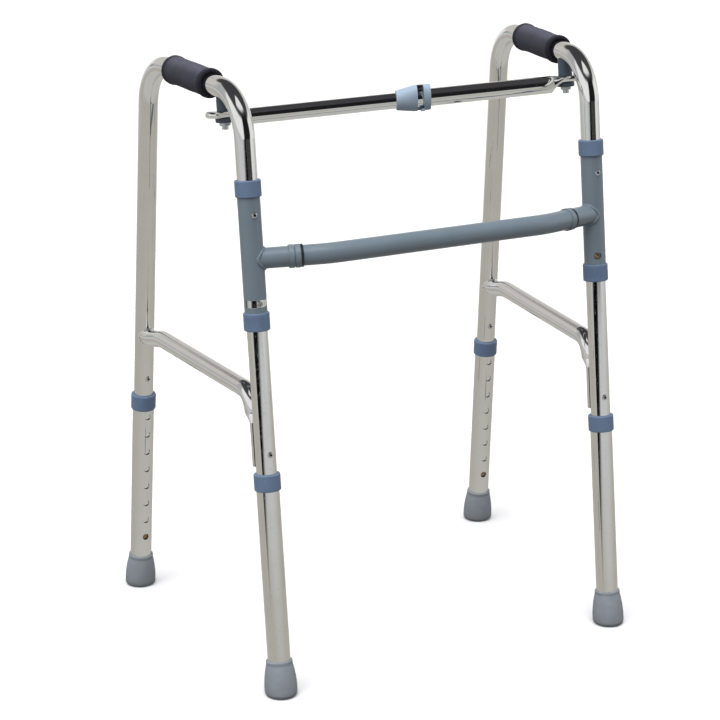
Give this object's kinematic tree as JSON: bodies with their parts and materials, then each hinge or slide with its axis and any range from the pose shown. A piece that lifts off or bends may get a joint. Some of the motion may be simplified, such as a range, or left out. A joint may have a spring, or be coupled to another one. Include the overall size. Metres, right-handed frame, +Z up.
{
  "type": "walking frame",
  "caption": "Walking frame with chromed side frames that swing about the sleeves of a painted front frame, a pivoted top bar, height-adjustable legs, foam grips and rubber feet.",
  "frame": {"origin": "floor level under the middle of the footprint", "axes": "+Z up; the closed front side faces -Y and the user walks in from +Y; +X is the user's left"},
  "size_m": [0.5734, 0.4422, 0.7554],
  "materials": {
    "chromed_tube": "polished chrome plating",
    "grey_paint": "semi-gloss blue-grey paint",
    "blue_grey_plastic": "moulded, satin",
    "dark_blue_plastic": "moulded, satin",
    "grip_foam": "soft matt foam",
    "foot_rubber": "matt mid grey",
    "black_plastic": "moulded, satin",
    "rivet_steel": "plated",
    "brass_button": "dull brass",
    "spring_steel": "spring strip",
    "zinc_steel": "zinc plated"
  },
  "bodies": {
    "front_frame": {"right_sleeve": "grey_paint", "left_sleeve": "grey_paint", "right_stub": "grey_paint", "left_stub": "grey_paint", "right_upper_bush": "blue_grey_plastic", "right_lower_bush": "blue_grey_plastic", "left_upper_bush": "blue_grey_plastic", "left_lower_bush": "blue_grey_plastic", "cross_bar": "grey_paint", "joint_rings": "grey_paint", "joint_seals": "black_plastic", "joint_spigots": "zinc_steel", "sleeve_rivets": "rivet_steel"},
    "right_side": {"right_side_tube": "chromed_tube", "right_brace": "chromed_tube", "right_grip": "grip_foam", "right_leg_rivets": "rivet_steel", "right_pivot_stud": "zinc_steel", "right_pivot_spacer": "dark_blue_plastic", "right_pivot_cap": "dark_blue_plastic", "right_pivot_nut": "zinc_steel", "right_button_springs": "spring_steel", "limit_pin": "rivet_steel"},
    "left_side": {"left_side_tube": "chromed_tube", "left_brace": "chromed_tube", "left_grip": "grip_foam", "left_leg_rivets": "rivet_steel", "left_pivot_stud": "zinc_steel", "left_pivot_spacer": "dark_blue_plastic", "left_pivot_cap": "dark_blue_plastic", "left_pivot_nut": "zinc_steel", "left_button_springs": "spring_steel"},
    "top_bar": {"top_bar_inner_tube": "chromed_tube", "top_bar_outer_tube": "chromed_tube", "catch_housing": "blue_grey_plastic", "catch_spring": "spring_steel"},
    "right_front_leg": {"right_front_leg_tube": "chromed_tube", "right_front_collar": "blue_grey_plastic", "right_front_foot": "foot_rubber", "right_front_foot_washer": "zinc_steel"},
    "right_front_snap": {"right_front_button": "brass_button"},
    "right_rear_leg": {"right_rear_leg_tube": "chromed_tube", "right_rear_collar": "blue_grey_plastic", "right_rear_foot": "foot_rubber", "right_rear_foot_washer": "zinc_steel"},
    "right_rear_snap": {"right_rear_button": "brass_button"},
    "left_front_leg": {"left_front_leg_tube": "chromed_tube", "left_front_collar": "blue_grey_plastic", "left_front_foot": "foot_rubber", "left_front_foot_washer": "zinc_steel"},
    "left_front_snap": {"left_front_button": "brass_button"},
    "left_rear_leg": {"left_rear_leg_tube": "chromed_tube", "left_rear_collar": "blue_grey_plastic", "left_rear_foot": "foot_rubber", "left_rear_foot_washer": "zinc_steel"},
    "left_rear_snap": {"left_rear_button": "brass_button"},
    "lock_snap": {"lock_button": "brass_button"},
    "catch_release": {"catch_button": "black_plastic"},
    "catch_lock": {"catch_pin": "brass_button"}
  },
  "joints": [
    {"name": "side_swing", "type": "hinge", "parent": "front_frame", "child": "right_side", "pos_m": [-0.239, -0.20113, 0], "axis": [0, 0.1248, 0.9922], "range_deg": [-60, 60]},
    {"name": "left_side_swing", "type": "hinge", "parent": "front_frame", "child": "left_side", "pos_m": [0.239, -0.20113, 0], "axis": [0, 0.1248, 0.9922], "range_deg": [-60, 60]},
    {"name": "top_bar_pivot", "type": "hinge", "parent": "right_side", "child": "top_bar", "pos_m": [-0.239, -0.05607, 0.7044], "axis": [0, 0.1248, 0.9922], "range_deg": [-60, 60]},
    {"name": "right_front_leg_height", "type": "slide", "parent": "right_side", "child": "right_front_leg", "axis": [0, -0.1248, -0.9922], "range_m": [0, 0.1778]},
    {"name": "right_front_snap_press", "type": "slide", "parent": "right_side", "child": "right_front_snap", "axis": [0.0685, -0.9898, 0.1245], "range_m": [0, 0.004], "stiffness_N_per_m": 1000, "springref_m": -0.002},
    {"name": "right_rear_leg_height", "type": "slide", "parent": "right_side", "child": "right_rear_leg", "axis": [-0.0141, 0.0813, -0.9966], "range_m": [0, 0.1778]},
    {"name": "right_rear_snap_press", "type": "slide", "parent": "right_side", "child": "right_rear_snap", "axis": [-0.0671, 0.9944, 0.0821], "range_m": [0, 0.004], "stiffness_N_per_m": 1000, "springref_m": -0.002},
    {"name": "left_front_leg_height", "type": "slide", "parent": "left_side", "child": "left_front_leg", "axis": [0, -0.1248, -0.9922], "range_m": [0, 0.1778]},
    {"name": "left_front_snap_press", "type": "slide", "parent": "left_side", "child": "left_front_snap", "axis": [-0.0685, -0.9898, 0.1245], "range_m": [0, 0.004], "stiffness_N_per_m": 1000, "springref_m": -0.002},
    {"name": "left_rear_leg_height", "type": "slide", "parent": "left_side", "child": "left_rear_leg", "axis": [0.0141, 0.0813, -0.9966], "range_m": [0, 0.1778]},
    {"name": "left_rear_snap_press", "type": "slide", "parent": "left_side", "child": "left_rear_snap", "axis": [0.0671, 0.9944, 0.0821], "range_m": [0, 0.004], "stiffness_N_per_m": 1000, "springref_m": -0.002},
    {"name": "lock_press", "type": "slide", "parent": "left_side", "child": "lock_snap", "axis": [0.2756, 0.9537, -0.12], "range_m": [0, 0.004], "stiffness_N_per_m": 1000, "springref_m": -0.002},
    {"name": "catch_press", "type": "slide", "parent": "top_bar", "child": "catch_release", "axis": [0, -0.1248, -0.9922], "range_m": [0, 0.0022], "stiffness_N_per_m": 1000, "springref_m": -0.002},
    {"name": "catch_pin_press", "type": "slide", "parent": "top_bar", "child": "catch_lock", "axis": [0, -0.1248, -0.9922], "range_m": [0, 0.0022]}
  ],
  "couplings": [
    {"joint": "left_side_swing", "follows": "side_swing", "ratio": 1},
    {"joint": "top_bar_pivot", "follows": "side_swing", "ratio": -1},
    {"joint": "catch_pin_press", "follows": "catch_press", "ratio": 1}
  ]
}
